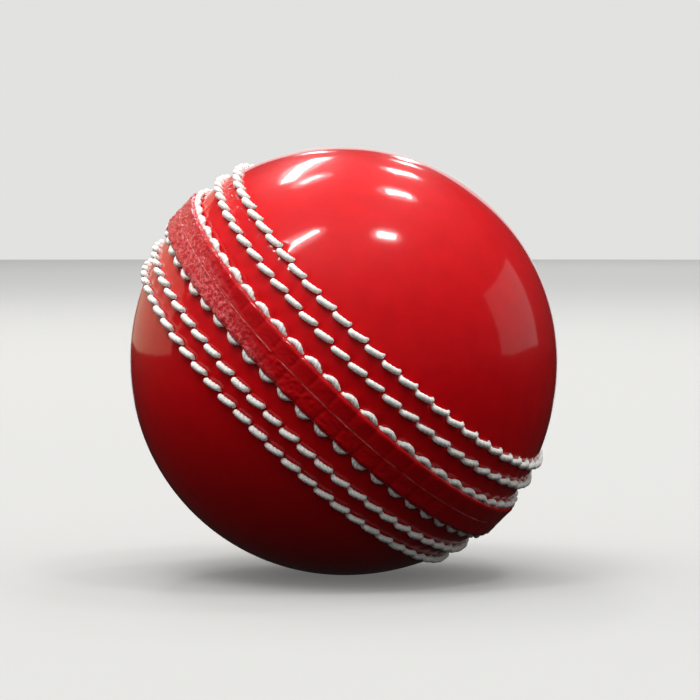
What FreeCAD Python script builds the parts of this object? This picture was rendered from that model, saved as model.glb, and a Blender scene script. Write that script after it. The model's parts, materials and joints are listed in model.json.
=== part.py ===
"""Two-piece leather cricket ball, millimetres.

Everything is built about the seam axis as local Z with the ball's centre at the origin.
The finished solids are then tipped about Y, so that the ball lies on the smooth leather of
its lower cup with +Z up and the seam plane leaning over.

From the middle outwards: a cork and rubber nucleus, then turns of wet-wound worsted yarn
and layers of sheet cork, then two leather cups. The cups meet face to face in a raised
welt. Six waxed threads hold and dress the seam. They run in three pairs. The primary pair
goes straight through both lips of the welt. Each outer pair dips through V-shaped awl
holes from one of its two rows to the other.
"""
import FreeCAD
import Part

import math
import os

V = FreeCAD.Vector

# ---- Driving dimensions -----------------------------------------------------------------
BALL_RADIUS = 36.0           # smooth leather, 226 mm round
SEAM_TILT = 45.0             # degrees from the vertical to the seam axis

# Core, from the centre outwards: outer radius of each layer
NUCLEUS_RADIUS = 12.5
LAYERS = [
    ("yarn_winding_1", 16.0),
    ("cork_layer_1", 18.5),
    ("yarn_winding_2", 22.0),
    ("cork_layer_2", 24.5),
    ("yarn_winding_3", 28.0),
    ("cork_layer_3", 30.0),
    ("yarn_winding_4", 32.2),
]
CORE_RADIUS = LAYERS[-1][1]

# Leather cups and the welt that their lips form
BAND_RADIUS = 36.4           # leather drawn up slightly where it is stitched
BAND_EDGE = 17.0             # height above the seam plane where the band begins
BAND_RAMP = 5.0              # length of the rise from the smooth leather to the band
WELT_RADIUS = 37.6
UPPER_LIP = 3.1              # width of the welt above the parting line
LOWER_LIP = 3.4              # width below it, where the lip spreads over its stitches
WELT_ROUNDING = 0.9
PARTING_BEVEL = 0.15         # skived edge of each lip at the parting line

# Threads
THREAD_RADIUS = 0.56         # on the surface
PINCHED_RADIUS = 0.30        # pulled tight inside the leather
THREAD_SIDES = 5
THREAD_LIFT = 0.60           # centre of a surface stitch above the band
GUIDE_RADIUS = 41.0          # the sections of a thread are turned towards this circle

# Outer rows: two rows a side, with holes in step, at these heights above the seam plane
OUTER_HOLES = 60
UPPER_ROWS = (11.15, 7.55)
LOWER_ROWS = (-7.85, -11.4)
OUTER_SLANT = 0.33           # each stitch climbs by twice this along its row
OUTER_HALF_GAP = 0.60        # from the middle of a hole to where a stitch bends into it
DEEP_RADIUS = 33.3           # bottom of the V of the thread that crosses beneath
SHALLOW_RADIUS = 34.75       # bottom of the V of the thread that crosses above it
UPPER_PHASE = 2.4            # degrees
LOWER_PHASE = 1.7

# Primary seam: one row at each foot of the welt
PRIMARY_HOLES = 56
PRIMARY_ROWS = (3.62, -3.93)
PRIMARY_SHOULDER = 0.95      # from the middle of a stitch to each bend of its bow
PRIMARY_HALF_GAP = 0.42
PRIMARY_MOUTH_HEIGHT = 2.55
PRIMARY_INNER_RADIUS = 35.75
PRIMARY_OUTER_RADIUS = 36.50
PRIMARY_PHASE = 5.8

# Awl holes: a diamond blade leaves a four-sided channel round each thread
CHANNEL_SIDES = 4
CHANNEL_SCALE = 1.45


# ---- Points and revolved shapes -----------------------------------------------------------
def at(radius, angle, height):
    """The point at a distance from the centre, an angle round the seam axis and a height."""
    reach = math.sqrt(radius ** 2 - height ** 2)
    turn = math.radians(angle)
    return V(reach * math.cos(turn), reach * math.sin(turn), height)


def degrees_along(length, radius, height):
    """The angle round the seam axis that a length along a row takes up."""
    return math.degrees(length / math.sqrt(radius ** 2 - height ** 2))


def in_section(radius, height):
    """A point of the half section, in the XZ plane."""
    return V(math.sqrt(radius ** 2 - height ** 2), 0, height)


def arc(start, middle, end):
    return Part.Arc(start, middle, end).toShape()


def line(start, end):
    return Part.LineSegment(start, end).toShape()


def revolved(edges):
    face = Part.Face(Part.Wire(Part.__sortEdges__(edges)))
    return face.revolve(V(0, 0, 0), V(0, 0, 1), 360)


def spherical_shell(inner_radius, outer_radius):
    return Part.makeSphere(outer_radius).cut(Part.makeSphere(inner_radius))


# ---- Leather ------------------------------------------------------------------------------
def plain_cup(lip_width):
    """One cup before stitching: a deep leather bowl whose lip is turned up into half a welt."""
    ramp_top = BAND_EDGE - BAND_RAMP
    smooth_middle = 0.6 * BALL_RADIUS
    ramp_middle = in_section(0.5 * (BALL_RADIUS + BAND_RADIUS), BAND_EDGE - 0.5 * BAND_RAMP)
    band_middle = 0.5 * (ramp_top + lip_width)
    welt_side = WELT_RADIUS - WELT_ROUNDING
    corner_start = V(welt_side, 0, lip_width)
    corner_end = V(WELT_RADIUS, 0, lip_width - WELT_ROUNDING)
    diagonal = WELT_ROUNDING * (1 - math.sqrt(0.5))
    corner_middle = V(WELT_RADIUS - diagonal, 0, lip_width - diagonal)
    bevel_top = V(WELT_RADIUS, 0, PARTING_BEVEL)
    bevel_foot = V(WELT_RADIUS - PARTING_BEVEL, 0, 0)
    pole = V(0, 0, BALL_RADIUS)
    inner_pole = V(0, 0, CORE_RADIUS)
    inner_edge = V(CORE_RADIUS, 0, 0)
    band_start = in_section(BALL_RADIUS, BAND_EDGE)
    ramp_end = in_section(BAND_RADIUS, ramp_top)
    welt_foot = in_section(BAND_RADIUS, lip_width)
    return revolved([
        arc(pole, in_section(BALL_RADIUS, smooth_middle), band_start),
        arc(band_start, ramp_middle, ramp_end),
        arc(ramp_end, in_section(BAND_RADIUS, band_middle), welt_foot),
        line(welt_foot, corner_start),
        arc(corner_start, corner_middle, corner_end),
        line(corner_end, bevel_top),
        line(bevel_top, bevel_foot),
        line(bevel_foot, inner_edge),
        arc(inner_edge, in_section(CORE_RADIUS, CORE_RADIUS * math.sqrt(0.5)), inner_pole),
        line(inner_pole, pole),
    ])


# ---- Threads ------------------------------------------------------------------------------
def ring(before, here, after, radius, guide_height, sides):
    """The corners of a thread's section at one bend, in the plane that halves the bend."""
    along = (here - before).normalize() + (after - here).normalize()
    along.normalize()
    reach = math.hypot(here.x, here.y)
    stretch = GUIDE_RADIUS / reach
    guide = V(here.x * stretch, here.y * stretch, guide_height)
    out = guide - here
    out = (out - along * out.dot(along)).normalize()
    across = along.cross(out)
    corners = []
    for side in range(sides):
        turn = 2 * math.pi * (side + 0.5) / sides
        corners.append(here + out * (radius * math.cos(turn)) + across * (radius * math.sin(turn)))
    return corners


def tube(rings, closed):
    """A solid skinned over rings of corners, either closed on itself or capped at its ends."""
    sides = len(rings[0])
    corners = [corner for one in rings for corner in one]
    facets = []
    spans = len(rings) if closed else len(rings) - 1
    for span in range(spans):
        first = span * sides
        second = ((span + 1) % len(rings)) * sides
        for side in range(sides):
            following = (side + 1) % sides
            facets.append((first + side, first + following, second + following))
            facets.append((first + side, second + following, second + side))
    if not closed:
        last = (len(rings) - 1) * sides
        for side in range(1, sides - 1):
            facets.append((0, side + 1, side))
            facets.append((last, last + side, last + side + 1))
    shell = Part.Shape()
    shell.makeShapeFromMesh((corners, facets), 0.001)
    solid = Part.Solid(shell.Shells[0])
    return solid if solid.Volume > 0 else solid.reversed()


def closed_thread(points, radii, guide_height):
    rings = []
    count = len(points)
    for index in range(count):
        before = points[index - 1]
        after = points[(index + 1) % count]
        rings.append(ring(before, points[index], after, radii[index], guide_height, THREAD_SIDES))
    return tube(rings, True)


def channel(points, radii, guide_height):
    """The awl hole round one dive of a thread. Its first and last points only aim its ends."""
    rings = []
    for index in range(1, len(points) - 1):
        radius = CHANNEL_SCALE * radii[index]
        here = points[index]
        rings.append(ring(points[index - 1], here, points[index + 1], radius, guide_height,
                          CHANNEL_SIDES))
    return tube(rings, False)


def outer_dive(hole, downwards, rows, phase):
    """Down one row's hole and up the other's: the end of a stitch, the V and the next stitch."""
    upper, lower = rows
    start_row, end_row = (upper, lower) if downwards else (lower, upper)
    surface = BAND_RADIUS + THREAD_LIFT
    angle = phase + hole * 360 / OUTER_HOLES
    start_gap = degrees_along(OUTER_HALF_GAP, surface, start_row)
    end_gap = degrees_along(OUTER_HALF_GAP, surface, end_row)
    bottom_radius = DEEP_RADIUS if downwards else SHALLOW_RADIUS
    bottom_height = 0.5 * (upper + lower) * bottom_radius / surface
    return [
        at(surface, angle - start_gap, start_row + OUTER_SLANT),
        at(bottom_radius, angle, bottom_height),
        at(surface, angle + end_gap, end_row - OUTER_SLANT),
    ]


def primary_dive(hole, downwards):
    """The end of one bowed stitch, the straight pass through the welt and the next bow."""
    upper, lower = PRIMARY_ROWS
    start_row, end_row = (upper, lower) if downwards else (lower, upper)
    mouth = PRIMARY_MOUTH_HEIGHT if downwards else -PRIMARY_MOUTH_HEIGHT
    surface = BAND_RADIUS + THREAD_LIFT
    angle = PRIMARY_PHASE + hole * 360 / PRIMARY_HOLES
    half_pitch = 180 / PRIMARY_HOLES
    shoulder = degrees_along(PRIMARY_SHOULDER, surface, upper)
    gap = degrees_along(PRIMARY_HALF_GAP, surface, PRIMARY_MOUTH_HEIGHT)
    pass_radius = PRIMARY_INNER_RADIUS if downwards else PRIMARY_OUTER_RADIUS
    return [
        at(surface, angle - half_pitch + shoulder, start_row),
        at(pass_radius, angle - gap, mouth),
        at(pass_radius, angle + gap, -mouth),
        at(surface, angle + half_pitch - shoulder, end_row),
    ]


OUTER_RADII = [THREAD_RADIUS, PINCHED_RADIUS, THREAD_RADIUS]
PRIMARY_RADII = [THREAD_RADIUS, PINCHED_RADIUS, PINCHED_RADIUS, THREAD_RADIUS]


def saddle_stitch(dives, radii, guide_height):
    """One thread through every hole in turn, and the channel that each dive needs."""
    points = [point for dive in dives for point in dive]
    thread = closed_thread(points, radii * len(dives), guide_height)
    channels = []
    count = len(points)
    size = len(radii)
    for number in range(len(dives)):
        first = number * size
        window = [points[(first + step) % count] for step in range(-1, size + 1)]
        window_radii = [radii[step % size] for step in range(-1, size + 1)]
        channels.append(channel(window, window_radii, guide_height))
    return thread, Part.Compound(channels)


def outer_pair(rows, phase):
    """Both threads of an outer pair of rows, each diving where the other climbs."""
    middle = 0.5 * (rows[0] + rows[1])
    pair = []
    for first in (0, 1):
        dives = [outer_dive(hole, (hole + first) % 2 == 0, rows, phase)
                 for hole in range(OUTER_HOLES)]
        pair.append(saddle_stitch(dives, OUTER_RADII, middle))
    return pair


def primary_pair():
    pair = []
    for first in (0, 1):
        dives = [primary_dive(hole, (hole + first) % 2 == 0) for hole in range(PRIMARY_HOLES)]
        pair.append(saddle_stitch(dives, PRIMARY_RADII, 0.0))
    return pair


# ---- Assembly -----------------------------------------------------------------------------
def build():
    parts = {"cork_rubber_nucleus": Part.makeSphere(NUCLEUS_RADIUS)}
    inner_radius = NUCLEUS_RADIUS
    for name, outer_radius in LAYERS:
        parts[name] = spherical_shell(inner_radius, outer_radius)
        inner_radius = outer_radius

    stitching = {
        "upper_rows_thread": outer_pair(UPPER_ROWS, UPPER_PHASE),
        "primary_seam_thread": primary_pair(),
        "lower_rows_thread": outer_pair(LOWER_ROWS, LOWER_PHASE),
    }
    for name, pair in stitching.items():
        for letter, (thread, _) in zip("ab", pair):
            parts[name + "_" + letter] = thread

    upper_cup = plain_cup(UPPER_LIP)
    lower_cup = plain_cup(LOWER_LIP).mirror(V(0, 0, 0), V(0, 0, 1))
    for _, channels in stitching["upper_rows_thread"] + stitching["primary_seam_thread"]:
        upper_cup = upper_cup.cut(channels)
    for _, channels in stitching["lower_rows_thread"] + stitching["primary_seam_thread"]:
        lower_cup = lower_cup.cut(channels)
    parts["leather_cup_upper"] = upper_cup
    parts["leather_cup_lower"] = lower_cup
    return parts


os.makedirs("parts", exist_ok=True)
for name, shape in build().items():
    shape.rotate(V(0, 0, 0), V(0, 1, 0), SEAM_TILT)
    shape.exportStep("parts/" + name + ".step")
    print(name, shape.ShapeType, len(shape.Solids), round(shape.Volume, 1), shape.isValid())
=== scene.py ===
"""Looks of the cricket ball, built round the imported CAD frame.

Shapes are worked out in millimetres about the seam axis, as the CAD model is, and then
tipped into the frame's axes and scaled to metres. Places in the materials, and of the lights
and the camera, are in metres.
"""

import json
import math

import bpy
import numpy as np
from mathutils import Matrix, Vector, noise


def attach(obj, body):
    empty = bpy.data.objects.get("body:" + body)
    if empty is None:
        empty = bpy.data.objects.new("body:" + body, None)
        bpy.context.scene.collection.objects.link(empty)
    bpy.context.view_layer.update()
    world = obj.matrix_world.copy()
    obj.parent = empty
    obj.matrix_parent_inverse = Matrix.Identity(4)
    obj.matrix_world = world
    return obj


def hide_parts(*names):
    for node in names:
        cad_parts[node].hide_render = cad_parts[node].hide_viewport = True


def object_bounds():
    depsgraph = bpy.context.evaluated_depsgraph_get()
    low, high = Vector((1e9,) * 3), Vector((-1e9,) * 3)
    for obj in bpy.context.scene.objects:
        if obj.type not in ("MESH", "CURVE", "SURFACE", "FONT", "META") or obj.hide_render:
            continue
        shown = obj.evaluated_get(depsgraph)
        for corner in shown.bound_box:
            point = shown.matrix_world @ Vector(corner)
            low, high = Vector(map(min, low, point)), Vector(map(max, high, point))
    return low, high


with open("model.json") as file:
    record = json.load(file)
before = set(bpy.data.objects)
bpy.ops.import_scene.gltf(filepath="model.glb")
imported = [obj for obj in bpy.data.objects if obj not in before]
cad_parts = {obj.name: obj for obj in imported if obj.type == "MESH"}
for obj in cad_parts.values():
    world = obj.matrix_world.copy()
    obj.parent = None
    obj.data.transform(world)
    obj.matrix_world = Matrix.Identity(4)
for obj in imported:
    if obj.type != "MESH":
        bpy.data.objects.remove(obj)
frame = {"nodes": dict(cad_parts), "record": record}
cad_low, cad_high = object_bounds()

MM = 0.001

# ---- The ball, as the CAD model has it (millimetres and degrees) ---------------------------------
BALL_RADIUS = 36.0
CORE_RADIUS = 32.2
SEAM_TILT = 45.0
BAND_RADIUS = 36.4
WELT_RADIUS = 37.6
UPPER_LIP = 3.1
LOWER_LIP = 3.4
OUTER_HOLES = 60
UPPER_ROWS = (11.15, 7.55)
LOWER_ROWS = (-7.85, -11.4)
DEEP_RADIUS = 33.3
SHALLOW_RADIUS = 34.75
UPPER_PHASE = 2.4
LOWER_PHASE = 1.7
PRIMARY_HOLES = 56
PRIMARY_INNER_RADIUS = 35.75
PRIMARY_OUTER_RADIUS = 36.5
PRIMARY_PHASE = 5.8
PINCHED_RADIUS = 0.30         # of a thread inside the leather
GUIDE_RADIUS = 41.0           # the sections of a thread are turned towards this circle
MM_PER_DEGREE = BAND_RADIUS * math.pi / 180

# ---- Leather, as only the looks have it (millimetres and degrees) --------------------------------
COLUMNS = 840                 # round the seam: divides by both hole counts
WELT_RINGS, LIP_RINGS, BAND_RINGS, DOME_RINGS, INSIDE_RINGS = 12, 13, 36, 50, 15
# Each cup's corner at the parting line: distance from the axis, height above the seam
PARTING_CORNER = [(35.0, 0.0), (37.2, 0.0), (37.56, 0.01), (37.63, 0.05), (37.64, 0.11)]
WELT_CROWN = 0.04             # how much fuller the welt is at the parting line
LIP_ROUNDING = 0.70
LIP_TURN = (4, 112)           # how far round the lip's edge is followed, in degrees
FOOT_RADIUS = 36.28           # the groove between the welt and the band
BAND_TOP = 11.6               # height above the seam where the raised band begins to fade
RELIEF_MARGIN = 1.5           # how far past that the stitches still pull the leather
FADE_END = 27.0               # and where it is level with the ball: slow, for clean reflections
POLE_RING = 89.0              # latitude of the last ring before the pole
SWELL_HEIGHT = 0.05           # of the leather between two stitches of an outer pair of rows
SWELL_WIDTH = 1.2
SWELL_LEAN = 0.4
PUCKER_DEPTH = 0.24           # where an outer row's thread goes in
PUCKER_LENGTH = 0.70
PUCKER_WIDTH = 0.60
ROW_GROOVE = 0.04             # all along an outer row
PUFF_HEIGHT = 0.10            # of the welt between two holes of the primary seam
PUFF_WIDTH = 1.1
CREASE_WIDTH = 0.26           # across the welt at each hole
CREASE_DEPTH = 0.10
TUCK_DEPTH = 0.22             # of the band under a primary stitch's ends
TUCK_WIDTH = 0.8
SCALLOP = 0.14                # how far the lip's edge moves in and out, stitch by stitch
LUMP_HEIGHT = 0.05            # slow unevenness of the band
LUMP_SIZE = 2.1
WRINKLE_SIZE = 0.85           # of the crinkled lips
WRINKLE_LEVEL = 0.35          # keeps the crinkle from thickening the welt
WORN_ANGLE = 205.0            # round the seam: where the lips are most crinkled
# centre of the worn leather's crinkle, scuffs and painted glints, a little past the most crinkled place
SCUFF_AND_GLINT_ANGLE = WORN_ANGLE - 10
# Crinkle of a lip: depth in the smooth stretch, what wear adds, spread of the worn stretch
UPPER_CRINKLE = (0.06, 0.30, 32.0)
LOWER_CRINKLE = (0.14, 0.30, 55.0)

# ---- Threads, as only the looks have them --------------------------------------------------------
THREAD_LIFT = 0.58
THREAD_SIDES = 18
PLIES = 3
PLY_LAY = 2.3                 # length of one turn of the twist
PLY_FLOOR = 0.86              # radius of the groove between two plies, as a share of the thread's
PLY_RISE = 0.15
# One half of a stitch: distance from its middle, depth below its crown, radius, rings to the next
OUTER_STITCH = [(0.0, 0.0, 0.55, 5), (0.82, 0.04, 0.54, 4),
                (1.26, 0.22, 0.47, 4), (1.47, 0.95, 0.34, 3)]
PRIMARY_STITCH = [(0.0, 0.02, 0.57, 5), (0.78, 0.06, 0.54, 4),
                  (1.30, 0.22, 0.44, 4), (1.68, 0.70, 0.34, 3)]
PRIMARY_ROWS = (3.60, -3.82)
HIDDEN_RINGS = 3              # from the bottom of a hole to the next point
SEED = 7                      # of the small differences between stitches, which are:
LEAN_SPREAD = 0.03
DRIFT_SPREAD = 0.05
SIZE_SPREAD = 0.035
OUTER_LEAN = 0.20             # rise of an outer stitch for each millimetre along the row
UPPER_SAG = 0.02              # how much the ends of an outer stitch curl up
LOWER_SAG = 0.09
SAG_REACH = 1.3               # distance from its middle where a stitch has curled up by its sag
SAG_LEVEL = 0.4               # share of the sag that the middle drops by, so the row keeps its place
UPPER_ARCH = 0.27             # fall of a bowed stitch towards the welt, by the square of the distance
LOWER_ARCH = 0.47             # the lower bows are pulled further in under their lip

# ---- Colours, and places in the materials (metres) -----------------------------------------------
LEATHER_RED = (0.62, 0.0020, 0.0055)
# painted shade: a deeper red that darkens the welt for the shade in its crinkle
WELT_SHADE_RED = (0.28, 0.0010, 0.0030)
# painted highlight: a pale pink line along the parting line, where its ridge catches light
PARTING_HIGHLIGHT_PINK = (0.78, 0.20, 0.18)
# scuffs with painted glints: pale pink lines on the worn welt stand partly for highlights in its crinkle
SCUFF_AND_GLINT_PINK = (0.86, 0.26, 0.28)
LINEN_SOILED, LINEN_CLEAN = (0.78, 0.77, 0.70), (0.94, 0.93, 0.89)
WELT_REACH = (0.0368, 0.0372)            # from the centre, where the band's colour turns to the welt's painted shade
PARTING_REACH = (0.00004, 0.00016)       # from the seam, where the painted highlight along the parting line fades out
ROWS_MIDDLE = 0.5 * (UPPER_ROWS[0] + UPPER_ROWS[1]) * MM
ROWS_REACH = (0.0010, 0.0018)            # from that middle, where the pulled leather smooths out

# ---- Camera and light ----------------------------------------------------------------------------
CAMERA_AZIMUTH = 12.9
CAMERA_ELEVATION = 2.5
CAMERA_DISTANCE = 0.54
CAMERA_LENS = 164.6
AIM_RIGHT = 0.00105           # the ball sits a little left of and below the middle
AIM_UP = 0.00190
SENSOR_WIDTH = 36.0           # millimetres, as the lens is
NEAREST, FARTHEST = 0.01, 50.0
CEILING = 1.2                 # height of the ceiling lights above the ball
# Tubes of the ceiling: start, end and width in ceiling heights, and radiance
CEILING_STRIPS = [
    ((-0.38, -0.49), (-0.09, -0.27), 0.040, 44),
    ((-0.42, 0.53), (-0.40, 1.30), 0.075, 26),
    ((-0.32, 0.41), (-0.24, 0.56), 0.055, 14),
    ((-0.74, 2.38), (-0.62, 2.26), 0.060, 26),
    ((0.33, -0.20), (0.46, -0.14), 0.075, 44),
    ((0.17, 0.38), (0.32, 0.48), 0.070, 30),
    ((0.05, 0.93), (0.16, 1.09), 0.070, 30),
    ((-0.08, 1.72), (-0.05, 1.95), 0.050, 26),
    ((-0.26, 2.60), (-0.38, 3.40), 0.050, 26),
]
GLOW_MARGIN = 0.12            # how much longer and wider than its tube a glow is, in ceiling heights
GLOW_RADIANCE = 1.8
WARM_WHITE = (1.0, 0.80, 0.55)
# Levels of the sky by height, from -1 below to 1 overhead: for the scene, and for reflections
EVEN_SKY = [(-0.02, 0.01), (0.02, 0.30), (0.35, 0.58), (1.0, 1.30)]
ROOM_SKY = [(-0.01, 0.01), (0.01, 0.02), (0.5, 0.04), (0.75, 0.14), (1.0, 0.30)]
STAGE_RADIUS = 4.5
STAGE_SIDES = 96
WALL_HEIGHT = 3.0
FLOOR_GREY, FLOOR_GLOW = (0.33, 0.33, 0.325), 0.12
WALL_GREY, WALL_GLOW = (0.0, 0.0, 0.0), 0.76
GLOW_WHITE = (1.0, 1.0, 0.98, 1)


# ---- Geometry helpers ----------------------------------------------------------------------------
def to_frame(points):
    """Millimetres about the seam axis to metres in the frame's axes."""
    tilt = math.radians(SEAM_TILT)
    x, y, z = points[:, 0], points[:, 1], points[:, 2]
    across = x * math.cos(tilt) + z * math.sin(tilt)
    up = z * math.cos(tilt) - x * math.sin(tilt)
    return np.column_stack([across, y, up]) * MM


def direction(azimuth, elevation):
    """From the ball towards a compass direction: azimuth 0 is the -Y side."""
    a, e = math.radians(azimuth), math.radians(elevation)
    return Vector((math.sin(a) * math.cos(e), -math.cos(a) * math.cos(e), math.sin(e)))


def mesh_object(name, points, faces, material):
    mesh = bpy.data.meshes.new(name)
    mesh.from_pydata(points.tolist(), [], faces)
    mesh.update()
    mesh.materials.append(material)
    mesh.shade_smooth()
    piece = bpy.data.objects.new(name, mesh)
    bpy.context.collection.objects.link(piece)
    return piece


def grid_faces(rows, columns):
    """Quads of a grid whose rows and columns both wrap round."""
    faces = []
    for row in range(rows):
        start = row * columns
        above = ((row + 1) % rows) * columns
        for column in range(columns):
            following = (column + 1) % columns
            faces.append((start + column, start + following, above + following, above + column))
    return faces


def hole_offset(angle, count, phase, reach):
    """Distance along a row from the nearest hole, in millimetres."""
    pitch = 360 / count
    return ((angle - phase + pitch / 2) % pitch - pitch / 2) * math.pi / 180 * reach


def bell(distance, width):
    """1 at no distance, falling smoothly to nothing a few widths away."""
    return np.exp(-(distance / width) ** 2)


# ---- Leather cups --------------------------------------------------------------------------------
def cup_profile(lip_width):
    """Outside of a cup from the parting line towards the pole: distance from the axis, height."""
    rings = list(PARTING_CORNER)
    flat = lip_width - LIP_ROUNDING
    for height in np.linspace(0.20, flat - 0.08, WELT_RINGS):
        rings.append((WELT_RADIUS + WELT_CROWN * (1 - (height / flat) ** 2), height))
    for turn in np.linspace(*LIP_TURN, LIP_RINGS):
        t = math.radians(turn)
        reach = WELT_RADIUS - LIP_ROUNDING * (1 - math.cos(t))
        rings.append((reach, flat + LIP_ROUNDING * math.sin(t)))
    rings.append((FOOT_RADIUS, lip_width + 0.10))
    for height in np.linspace(lip_width + 0.30, BAND_TOP, BAND_RINGS):
        rings.append((math.sqrt(BAND_RADIUS ** 2 - height ** 2), height))
    start = math.degrees(math.asin(BAND_TOP / BAND_RADIUS))
    for latitude in np.linspace(start + 0.8, POLE_RING, DOME_RINGS):
        t = math.radians(latitude)
        left = min(max((FADE_END - BALL_RADIUS * math.sin(t)) / (FADE_END - BAND_TOP), 0.0), 1.0)
        radius = BALL_RADIUS + (BAND_RADIUS - BALL_RADIUS) * left * left
        rings.append((radius * math.cos(t), radius * math.sin(t)))
    return rings


def inner_profile():
    """Inside of a cup from near the pole back to the parting line."""
    rings = []
    for latitude in np.linspace(POLE_RING, 0.0, INSIDE_RINGS):
        t = math.radians(latitude)
        rings.append((CORE_RADIUS * math.cos(t), CORE_RADIUS * math.sin(t)))
    return rings


def lumps(points, size, seed):
    """Smooth random relief, between about -1 and 1."""
    shift = Vector((seed * 17.3, seed * 5.1, seed * 9.7))
    return np.array([noise.noise(Vector(p) / size + shift) for p in points])


def band_relief(angle, height, rows, phase):
    """How far the stitches of the outer rows pull the leather in, and how it swells between."""
    along = hole_offset(angle, OUTER_HOLES, phase, BAND_RADIUS)
    across = height - 0.5 * (rows[0] + rows[1])
    slanted = np.cos(2 * math.pi * (along + SWELL_LEAN * across) * OUTER_HOLES / (360 * MM_PER_DEGREE))
    relief = (SWELL_HEIGHT - SWELL_HEIGHT * slanted) * bell(across, SWELL_WIDTH)
    for row in rows:
        relief -= PUCKER_DEPTH * bell(along, PUCKER_LENGTH) * bell(height - row, PUCKER_WIDTH)
        relief -= ROW_GROOVE * bell(height - row, PUCKER_WIDTH)
    return relief


def cup(name, side, lip_width, rows, phase, seed, crinkle, material):
    """One leather cup with its half of the welt: side is 1 for the upper cup, -1 for the lower."""
    outside = cup_profile(lip_width)
    profile = np.array(outside + inner_profile())
    reach = np.repeat(profile[:, 0], COLUMNS)
    height = np.repeat(profile[:, 1], COLUMNS)
    angle = np.tile(np.arange(COLUMNS) * 360 / COLUMNS, len(profile))
    turn = np.radians(angle)
    base = np.column_stack([reach * np.cos(turn), reach * np.sin(turn), side * height])

    outer = np.repeat(np.arange(len(profile)) < len(outside), COLUMNS)
    welt = outer & (reach > FOOT_RADIUS + 0.01) & (height < lip_width + 0.08)
    band = outer & ~welt & (height > lip_width) & (height < BAND_TOP + RELIEF_MARGIN)
    push = np.zeros_like(reach)
    push[band] += band_relief(angle[band], height[band], rows, phase)
    along = hole_offset(angle, PRIMARY_HOLES, PRIMARY_PHASE, WELT_RADIUS)
    between = 0.5 - 0.5 * np.cos(np.radians((angle - PRIMARY_PHASE) * PRIMARY_HOLES))
    past_edge = np.clip((height - 0.15) / 0.6, 0, 1)
    push[welt] += PUFF_HEIGHT * (between * bell(height - lip_width + 0.4, PUFF_WIDTH))[welt]
    push[welt] -= CREASE_DEPTH * (bell(along, CREASE_WIDTH) * past_edge)[welt]
    foot = band & (height < lip_width + 2)
    push[foot] -= TUCK_DEPTH * (bell(height - lip_width - 0.3, TUCK_WIDTH) * (1 - between))[foot]
    spots = np.where(band | welt)[0]
    fading = np.clip(BAND_TOP - height[spots], 0, 1)
    push[spots] += LUMP_HEIGHT * fading * lumps(base[spots], LUMP_SIZE, seed + 2)
    smooth, worn, spread = crinkle
    spots = np.where(welt)[0]
    depth = smooth + worn * bell((angle[spots] - WORN_ANGLE + 180) % 360 - 180, spread)
    push[spots] -= depth * (WRINKLE_LEVEL - np.abs(lumps(base[spots], WRINKLE_SIZE, seed + 1)))

    length = np.linalg.norm(base, axis=1)
    moved = base * (1 + push / length)[:, None]
    edge = welt & (height > lip_width - 1)
    moved[edge, 2] += side * (SCALLOP * (between - 0.5) * (height - lip_width + 1))[edge]

    faces = grid_faces(len(profile), COLUMNS)
    over_pole = (len(outside) - 1) * COLUMNS
    del faces[over_pole:over_pole + COLUMNS]
    points = np.vstack([moved, [[0, 0, side * BALL_RADIUS], [0, 0, side * CORE_RADIUS]]])
    outer_pole, inner_pole = len(moved), len(moved) + 1
    for column in range(COLUMNS):
        following = (column + 1) % COLUMNS
        faces.append((over_pole + column, over_pole + following, outer_pole))
        faces.append((over_pole + COLUMNS + following, over_pole + COLUMNS + column, inner_pole))
    if side < 0:
        faces = [face[::-1] for face in faces]
    return mesh_object(name, to_frame(points), faces, material)


# ---- Threads -------------------------------------------------------------------------------------
def place(radius, angle, height):
    """A point by its distance from the centre, its angle round the seam and its height above it."""
    reach = math.sqrt(radius ** 2 - height ** 2)
    turn = math.radians(angle)
    return (reach * math.cos(turn), reach * math.sin(turn), height)


def stitch(shape, angle, row, rise, size):
    """Control points (place, radius, rings to the next) of one visible stitch, end to end."""
    crown = BAND_RADIUS + THREAD_LIFT
    reach = math.sqrt(crown ** 2 - row ** 2)
    controls = []
    for side in (-1, 1):
        for number, (along, depth, radius, rings) in enumerate(shape):
            if side > 0 and number == 0:
                continue
            turn = angle + side * math.degrees(along / reach)
            spot = place(crown - depth, turn, row + rise(side * along))
            # On the way in, the next point is one step nearer the middle, and its rings come from there.
            towards = shape[number - 1][3] if side < 0 and number else rings
            controls.append((spot, size * radius, towards))
        if side < 0:
            controls.reverse()
    return controls


def outer_controls(rows, phase, sag, first, random):
    """One thread of an outer pair: it dives under the leather and comes up in the other row."""
    controls = []
    for hole in range(OUTER_HOLES):
        downwards = (hole + first) % 2 == 0
        bottom = DEEP_RADIUS if downwards else SHALLOW_RADIUS
        middle = 0.5 * (rows[0] + rows[1]) * bottom / BAND_RADIUS
        angle = phase + hole * 360 / OUTER_HOLES
        controls.append((place(bottom, angle, middle), PINCHED_RADIUS, HIDDEN_RINGS))
        lean = OUTER_LEAN + LEAN_SPREAD * random.standard_normal()
        drift = DRIFT_SPREAD * random.standard_normal()
        size = 1 + SIZE_SPREAD * random.standard_normal()

        def rise(along):
            return lean * along + sag * ((along / SAG_REACH) ** 2 - SAG_LEVEL) + drift

        row = rows[1] if downwards else rows[0]
        controls += stitch(OUTER_STITCH, angle + 180 / OUTER_HOLES, row, rise, size)
    return controls


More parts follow.
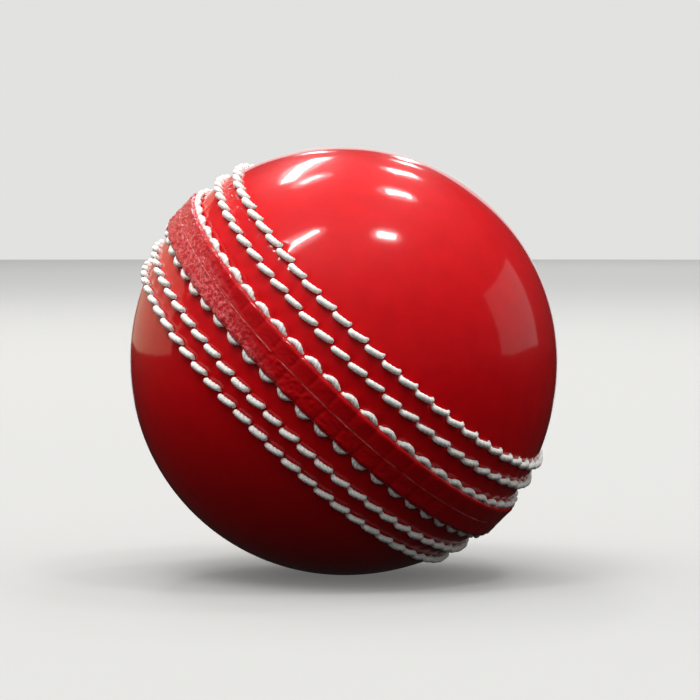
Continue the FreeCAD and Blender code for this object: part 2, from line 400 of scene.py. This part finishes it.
def primary_controls(first, random):
    """One thread of the primary seam: it goes straight through both lips, bow after bow."""
    controls = []
    for hole in range(PRIMARY_HOLES):
        downwards = (hole + first) % 2 == 0
        inside = PRIMARY_INNER_RADIUS if downwards else PRIMARY_OUTER_RADIUS
        angle = PRIMARY_PHASE + hole * 360 / PRIMARY_HOLES
        controls.append((place(inside, angle, 0.0), PINCHED_RADIUS, HIDDEN_RINGS))
        row = PRIMARY_ROWS[1] if downwards else PRIMARY_ROWS[0]
        towards_welt = LOWER_ARCH if downwards else -UPPER_ARCH
        drift = DRIFT_SPREAD * random.standard_normal()
        size = 1 + SIZE_SPREAD * random.standard_normal()

        def rise(along):
            return towards_welt * along * along + drift

        controls += stitch(PRIMARY_STITCH, angle + 180 / PRIMARY_HOLES, row, rise, size)
    return controls


def smooth_loop(controls):
    """A closed Catmull-Rom curve through the control points, with its thickness."""
    values = np.array([(*spot, radius) for spot, radius, _ in controls])
    count = len(controls)
    samples = []
    for index in range(count):
        p0, p1 = values[index - 1], values[index]
        p2, p3 = values[(index + 1) % count], values[(index + 2) % count]
        rings = controls[index][2]
        for step in range(rings):
            t = step / rings
            samples.append(0.5 * (2 * p1 + (p2 - p0) * t + (2 * p0 - 5 * p1 + 4 * p2 - p3) * t ** 2
                                  + (3 * p1 - p0 - 3 * p2 + p3) * t ** 3))
    samples = np.array(samples)
    return samples[:, :3], samples[:, 3]


def unit(vectors):
    return vectors / np.linalg.norm(vectors, axis=1)[:, None]


def twisted_thread(name, controls, guide_height, material):
    """A plied thread along a closed path. Its corners follow the twist, so each groove is a line."""
    centre, size = smooth_loop(controls)
    along = unit(np.roll(centre, -1, axis=0) - np.roll(centre, 1, axis=0))
    guide = centre * (GUIDE_RADIUS / np.hypot(centre[:, 0], centre[:, 1]))[:, None]
    guide[:, 2] = guide_height
    out = guide - centre
    out = unit(out - along * np.sum(out * along, axis=1)[:, None])
    across = np.cross(along, out)
    steps = np.linalg.norm(np.roll(centre, -1, axis=0) - centre, axis=1)
    turns = round(steps.sum() / PLY_LAY)
    twist = 2 * math.pi * turns * np.concatenate([[0], np.cumsum(steps)[:-1]]) / steps.sum()
    lines = []
    for side in range(THREAD_SIDES):
        spot = side / THREAD_SIDES
        relief = PLY_FLOOR + PLY_RISE * abs(math.sin(math.pi * PLIES * spot)) ** 0.6
        turn = 2 * math.pi * spot + twist
        offset = out * np.cos(turn)[:, None] + across * np.sin(turn)[:, None]
        lines.append(centre + offset * (size * relief)[:, None])
    points = np.stack(lines, axis=1).reshape(-1, 3)
    return mesh_object(name, to_frame(points), grid_faces(len(centre), THREAD_SIDES), material)


# ---- Materials -----------------------------------------------------------------------------------
def colour_ramp(tree, source, stops):
    """A ramp through stops of (position, colour)."""
    node = tree.nodes.new("ShaderNodeValToRGB")
    ramp = node.color_ramp
    while len(ramp.elements) < len(stops):
        ramp.elements.new(0.5)
    for element, (position, colour) in zip(ramp.elements, stops):
        element.position = position
        element.color = (*colour, 1.0)
    tree.links.new(source, node.inputs["Fac"])
    return node.outputs["Color"]


class Nodes:
    """Short calls for building one material's node tree."""

    def __init__(self, name):
        self.material = bpy.data.materials.new(name)
        self.material.use_nodes = True
        self.tree = self.material.node_tree
        self.shader = self.tree.nodes["Principled BSDF"]
        self.place = self.add("ShaderNodeTexCoord").outputs["Object"]

    def add(self, kind, **values):
        node = self.tree.nodes.new(kind)
        for key, value in values.items():
            setattr(node, key, value)
        return node

    def link(self, source, target):
        self.tree.links.new(source, target)

    def set(self, **values):
        for key, value in values.items():
            self.shader.inputs[key.replace("_", " ")].default_value = value

    def noise(self, scale, detail=2.0, roughness=0.5):
        node = self.add("ShaderNodeTexNoise")
        node.inputs["Scale"].default_value = scale
        node.inputs["Detail"].default_value = detail
        node.inputs["Roughness"].default_value = roughness
        self.link(self.place, node.inputs["Vector"])
        return node.outputs["Fac"]

    def ramp(self, source, stops):
        return colour_ramp(self.tree, source, stops)

    def math(self, operation, first, second=None, value=0.0):
        """One sum on one output, with either another output or a fixed value."""
        node = self.add("ShaderNodeMath", operation=operation)
        node.inputs[1].default_value = value
        self.link(first, node.inputs[0])
        if second is not None:
            self.link(second, node.inputs[1])
        return node.outputs[0]

    def reach(self):
        """Distance from the ball's centre."""
        node = self.add("ShaderNodeVectorMath", operation="LENGTH")
        self.link(self.place, node.inputs[0])
        return node.outputs["Value"]

    def dot(self, heading):
        """Distance from the ball's centre along a heading."""
        node = self.add("ShaderNodeVectorMath", operation="DOT_PRODUCT")
        node.inputs[1].default_value = heading
        self.link(self.place, node.inputs[0])
        return node.outputs["Value"]

    def mix(self, factor, under, over):
        node = self.add("ShaderNodeMix", data_type="RGBA")
        node.inputs["B"].default_value = (*over, 1)
        self.link(factor, node.inputs["Factor"])
        self.link(under, node.inputs["A"])
        return node.outputs["Result"]

    def span(self, source, low, high, source_low=0.0, source_high=1.0):
        node = self.add("ShaderNodeMapRange")
        node.inputs["From Min"].default_value = source_low
        node.inputs["From Max"].default_value = source_high
        node.inputs["To Min"].default_value = low
        node.inputs["To Max"].default_value = high
        self.link(source, node.inputs["Value"])
        return node.outputs["Result"]

    def bump(self, source, strength, distance, under=None):
        node = self.add("ShaderNodeBump")
        node.inputs["Strength"].default_value = strength
        node.inputs["Distance"].default_value = distance
        self.link(source, node.inputs["Height"])
        if under is not None:
            self.link(under, node.inputs["Normal"])
        return node.outputs["Normal"]


def shade(colour, factor):
    return tuple(channel * factor for channel in colour)


def worn_share(n, lean, low, high):
    """How worn the leather is, which also sets where the painted glints go: most at one end of the seam,
    and with a lean, below it.
    """
    turn = math.radians(SCUFF_AND_GLINT_ANGLE)
    worn_end = to_frame(np.array([[math.cos(turn), math.sin(turn), -lean]]))[0] / MM
    return n.span(n.dot(worn_end), 0.0, 1.0, low, high)


def leather_material():
    """Dyed leather under a thick clear lacquer. Painted into its colour are shade on the welt, glints
    among the scuffs of its worn end, and a highlight along the parting line.
    """
    n = Nodes("lacquered_leather_red")
    mottle = [(0.30, shade(LEATHER_RED, 0.91)), (0.70, shade(LEATHER_RED, 1.04))]
    dyed = n.ramp(n.noise(260.0, 4.0, 0.6), mottle)
    tilt = math.radians(SEAM_TILT)
    waver = n.span(n.noise(420.0, 2.0), -0.00012, 0.00012)
    height = n.dot((math.sin(tilt), 0, math.cos(tilt)))
    # Painted highlight: a pale pink line along the parting line, in patches.
    edge = n.span(n.math("ABSOLUTE", n.math("ADD", height, waver)), 0.80, 0.0, *PARTING_REACH)
    patchy_parting_highlight = n.math("MULTIPLY", edge, n.span(n.noise(300.0, 2.0), 0.0, 1.0, 0.35, 0.60))
    on_welt = n.span(n.reach(), 0.0, 1.0, *WELT_REACH)
    worn = n.math("MULTIPLY", on_welt, worn_share(n, 4.0, 0.019, 0.030))
    off_middle = n.math("ABSOLUTE", n.math("SUBTRACT", height, value=ROWS_MIDDLE))
    between_rows = n.span(off_middle, 1.0, 0.0, *ROWS_REACH)
    pulled = n.math("MULTIPLY", between_rows, worn_share(n, 0.0, 0.027, 0.034))
    crackle = n.noise(900.0, 2.5, 0.55)
    scuff_and_glint_lines = n.span(n.math("PINGPONG", crackle, value=0.5), 0.06, 0.46, 0.44, 0.495)
    # Painted shade: the welt is mixed towards a deeper red for the shade in its crinkle.
    colour = n.mix(n.span(on_welt, 0.0, 0.45), dyed, WELT_SHADE_RED)
    # Scuffs and painted glints: pale pink lines in the worn crinkle, standing partly for highlights its
    # crinkle would catch.
    colour = n.mix(n.math("MULTIPLY", worn, scuff_and_glint_lines), colour, SCUFF_AND_GLINT_PINK)
    n.link(n.mix(patchy_parting_highlight, colour, PARTING_HIGHLIGHT_PINK), n.shader.inputs["Base Color"])
    n.link(n.span(n.noise(900.0, 3.0), 0.30, 0.46), n.shader.inputs["Roughness"])
    grain = n.bump(n.noise(2600.0, 3.0, 0.6), 0.10, 0.0002)
    n.link(n.bump(n.noise(420.0, 2.0), 0.10, 0.0005, grain), n.shader.inputs["Normal"])
    wave = n.bump(n.noise(150.0, 1.0), 0.06, 0.001)
    crinkled = n.math("MULTIPLY", n.math("ADD", worn, pulled), crackle)
    n.link(n.bump(crinkled, 1.0, 0.0007, wave), n.shader.inputs["Coat Normal"])
    n.set(Coat_Weight=1.0, Coat_Roughness=0.085, Coat_IOR=1.5, IOR=1.45, Specular_IOR_Level=0.08)
    return n.material


def thread_material():
    """Waxed off-white linen, slightly soiled between its fibres."""
    n = Nodes("waxed_thread_white")
    n.link(n.ramp(n.noise(1500.0, 4.0, 0.65), [(0.3, LINEN_SOILED), (0.60, LINEN_CLEAN)]),
           n.shader.inputs["Base Color"])
    n.link(n.bump(n.noise(5200.0, 3.0, 0.65), 0.45, 0.00012), n.shader.inputs["Normal"])
    n.set(Roughness=0.85, Specular_IOR_Level=0.25, Sheen_Weight=0.15, Sheen_Roughness=0.5)
    return n.material


def cork_material():
    n = Nodes("sheet_cork")
    grain = n.noise(700.0, 5.0, 0.7)
    browns = [(0.35, (0.20, 0.11, 0.05)), (0.5, (0.46, 0.30, 0.16)), (0.7, (0.58, 0.41, 0.24))]
    n.link(n.ramp(grain, browns), n.shader.inputs["Base Color"])
    n.link(n.bump(grain, 0.5, 0.0004), n.shader.inputs["Normal"])
    n.set(Roughness=0.9)
    return n.material


def yarn_material():
    n = Nodes("worsted_yarn")
    wave = n.add("ShaderNodeTexWave", wave_type="BANDS", bands_direction="DIAGONAL")
    wave.inputs["Scale"].default_value = 320.0
    wave.inputs["Distortion"].default_value = 3.0
    n.link(n.place, wave.inputs["Vector"])
    n.link(n.ramp(wave.outputs["Fac"], [(0.2, (0.40, 0.34, 0.26)), (0.8, (0.68, 0.62, 0.50))]),
           n.shader.inputs["Base Color"])
    n.link(n.bump(wave.outputs["Fac"], 0.8, 0.0005), n.shader.inputs["Normal"])
    n.set(Roughness=0.95, Sheen_Weight=0.3)
    return n.material


def nucleus_material():
    n = Nodes("cork_rubber")
    crumb = n.add("ShaderNodeTexVoronoi")
    crumb.inputs["Scale"].default_value = 600.0
    n.link(n.place, crumb.inputs["Vector"])
    n.link(n.ramp(crumb.outputs["Distance"], [(0.2, (0.36, 0.22, 0.11)), (0.6, (0.05, 0.035, 0.03))]),
           n.shader.inputs["Base Color"])
    n.link(n.bump(crumb.outputs["Distance"], 0.4, 0.0004), n.shader.inputs["Normal"])
    n.set(Roughness=0.8)
    return n.material


# ---- The ball ------------------------------------------------------------------------------------
def add_piece(piece, node):
    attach(piece, "root")
    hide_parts(node)


def build_cups():
    leather = leather_material()
    below = [-row for row in LOWER_ROWS]
    upper = cup("cover_upper", 1, UPPER_LIP, UPPER_ROWS, UPPER_PHASE, 1, UPPER_CRINKLE, leather)
    lower = cup("cover_lower", -1, LOWER_LIP, below, LOWER_PHASE, 4, LOWER_CRINKLE, leather)
    add_piece(upper, "leather_cup_upper")
    add_piece(lower, "leather_cup_lower")


def build_threads():
    linen = thread_material()
    random = np.random.default_rng(SEED)
    for first, letter in ((0, "a"), (1, "b")):
        upper = outer_controls(UPPER_ROWS, UPPER_PHASE, UPPER_SAG, first, random)
        primary = primary_controls(first, random)
        lower = outer_controls(LOWER_ROWS, LOWER_PHASE, LOWER_SAG, first, random)
        runs = (("upper_rows", upper, sum(UPPER_ROWS) / 2),
                ("primary_seam", primary, 0.0),
                ("lower_rows", lower, sum(LOWER_ROWS) / 2))
        for row, controls, height in runs:
            thread = twisted_thread(f"{row}_linen_{letter}", controls, height, linen)
            add_piece(thread, f"{row}_thread_{letter}")


def finish_core():
    """The sealed core keeps its CAD shapes and takes the finish of each layer."""
    finishes = {
        "cork_rubber": nucleus_material(),
        "cork": cork_material(),
        "worsted_yarn": yarn_material(),
    }
    for part in frame["record"]["subparts"]:
        if part["material_slot"] in finishes:
            node = frame["nodes"][part["node"]]
            node.material_slots[0].material = finishes[part["material_slot"]]


# ---- Stage, light and camera ---------------------------------------------------------------------
def unseen_by_the_ball(obj):
    """The stage only shows to the camera and takes shadows: it lends the ball no light."""
    obj.visible_glossy = False
    obj.visible_diffuse = False


def stage_material(name, colour, glow):
    material = bpy.data.materials.new(name)
    material.use_nodes = True
    shader = material.node_tree.nodes["Principled BSDF"]
    shader.inputs["Base Color"].default_value = (*colour, 1)
    shader.inputs["Roughness"].default_value = 1.0
    shader.inputs["Specular IOR Level"].default_value = 0.0
    shader.inputs["Emission Color"].default_value = GLOW_WHITE
    shader.inputs["Emission Strength"].default_value = glow
    return material


def build_stage():
    bpy.ops.mesh.primitive_circle_add(vertices=STAGE_SIDES, radius=STAGE_RADIUS, fill_type="NGON",
                                      location=(0, 0, cad_low.z))
    floor = bpy.context.object
    floor.name = "floor"
    floor.data.materials.append(stage_material("pale_floor", FLOOR_GREY, FLOOR_GLOW))
    unseen_by_the_ball(floor)

    bpy.ops.mesh.primitive_cylinder_add(vertices=STAGE_SIDES, radius=STAGE_RADIUS, depth=WALL_HEIGHT,
                                        end_fill_type="NOTHING",
                                        location=(0, 0, cad_low.z + WALL_HEIGHT / 2))
    wall = bpy.context.object
    wall.name = "backdrop"
    wall.data.materials.append(stage_material("pale_wall", WALL_GREY, WALL_GLOW))
    wall.visible_shadow = False
    unseen_by_the_ball(wall)


def area_light(name, width, height, radiance):
    data = bpy.data.lights.new(name, "AREA")
    data.shape = "RECTANGLE"
    data.size, data.size_y = width, height
    data.energy = radiance * math.pi * width * height
    lamp = bpy.data.objects.new(name, data)
    bpy.context.collection.objects.link(lamp)
    return lamp


def softbox(name, azimuth, elevation, distance, width, height, radiance):
    """A softbox that faces the ball."""
    lamp = area_light(name, width, height, radiance)
    back = direction(azimuth, elevation)
    lamp.location = back * distance
    lamp.rotation_mode = "QUATERNION"
    lamp.rotation_quaternion = back.to_track_quat("Z", "Y")
    return lamp


def ceiling_strip(number, start, end, width, radiance):
    """One tube of the ceiling with a faint glow round it. Places and width are in ceiling heights."""
    middle = (np.array(start) + end) / 2
    along = np.array(end) - start
    length = math.hypot(*along)
    for part, margin, level in (("tube", 0.0, radiance), ("glow", GLOW_MARGIN, GLOW_RADIANCE)):
        size = (length + margin) * CEILING, (width + margin) * CEILING
        lamp = area_light(f"ceiling_{part}_{number}", *size, level)
        if part == "glow":
            lamp.data.shape = "ELLIPSE"
        lamp.location = (*(middle * CEILING), CEILING)
        lamp.rotation_euler = (0, 0, math.atan2(along[1], along[0]))


def build_light():
    """Ceiling tubes, a window on each side, a card behind, and soft fill without reflections."""
    for number, strip in enumerate(CEILING_STRIPS):
        ceiling_strip(number, *strip)
    softbox("window", azimuth=123, elevation=14.5, distance=1.6,
            width=1.05, height=0.68, radiance=0.40)
    # window_left and rim_card show in reflections only: standing low, they would leave an edge of
    # light on the floor. fill_left lends the left window's light from higher up.
    window_left = softbox("window_left", azimuth=-120, elevation=14, distance=1.6,
                          width=1.75, height=0.85, radiance=0.55)
    window_left.data.color = WARM_WHITE
    window_left.visible_diffuse = False
    fill_left = softbox("fill_left", azimuth=-120, elevation=38, distance=1.8,
                        width=1.2, height=1.2, radiance=0.72)
    fill_left.data.color = WARM_WHITE
    fill_left.visible_glossy = False
    fill_left.visible_camera = False
    rim_card = softbox("rim_card", azimuth=193, elevation=6, distance=4.3,
                       width=2.3, height=1.7, radiance=0.8)
    rim_card.visible_camera = False
    rim_card.visible_diffuse = False
    overhead = softbox("overhead", azimuth=-20, elevation=75, distance=2.2,
                       width=2.0, height=2.0, radiance=2.6)
    overhead.visible_glossy = False


def sky(tree, height, levels):
    """Grey levels by height. Here the height runs from 0, straight down, to 1, straight up."""
    stops = [(0.5 + 0.5 * position, (level, level, level)) for position, level in levels]
    return colour_ramp(tree, height, stops)


def build_world():
    """An even pale sky over a dark ground. Reflections see a dimmer room with a paler ceiling."""
    world = bpy.data.worlds.new("studio")
    bpy.context.scene.world = world
    world.use_nodes = True
    tree = world.node_tree
    place = tree.nodes.new("ShaderNodeTexCoord")
    split = tree.nodes.new("ShaderNodeSeparateXYZ")
    height = tree.nodes.new("ShaderNodeMapRange")
    height.inputs["From Min"].default_value = -1.0
    tree.links.new(place.outputs["Generated"], split.inputs[0])
    tree.links.new(split.outputs["Z"], height.inputs["Value"])
    even = sky(tree, height.outputs["Result"], EVEN_SKY)
    room = sky(tree, height.outputs["Result"], ROOM_SKY)
    rays = tree.nodes.new("ShaderNodeLightPath")
    mix = tree.nodes.new("ShaderNodeMix")
    mix.data_type = "RGBA"
    tree.links.new(rays.outputs["Is Glossy Ray"], mix.inputs["Factor"])
    tree.links.new(even, mix.inputs["A"])
    tree.links.new(room, mix.inputs["B"])
    tree.links.new(mix.outputs["Result"], tree.nodes["Background"].inputs["Color"])


def build_camera():
    data = bpy.data.cameras.new("camera")
    data.lens = CAMERA_LENS
    data.sensor_width = SENSOR_WIDTH
    camera = bpy.data.objects.new("camera", data)
    bpy.context.collection.objects.link(camera)
    back = direction(CAMERA_AZIMUTH, CAMERA_ELEVATION)
    right = Vector((math.cos(math.radians(CAMERA_AZIMUTH)), math.sin(math.radians(CAMERA_AZIMUTH)), 0))
    up = back.cross(right)
    place = back * CAMERA_DISTANCE
    aim = right * AIM_RIGHT + up * AIM_UP
    camera.location = place
    camera.rotation_mode = "QUATERNION"
    camera.rotation_quaternion = (aim - place).to_track_quat("-Z", "Y")
    data.clip_start, data.clip_end = NEAREST, FARTHEST
    bpy.context.scene.camera = camera
    bpy.context.scene.view_settings.view_transform = "Standard"


build_cups()
build_threads()
finish_core()
build_stage()
build_light()
build_world()
build_camera()
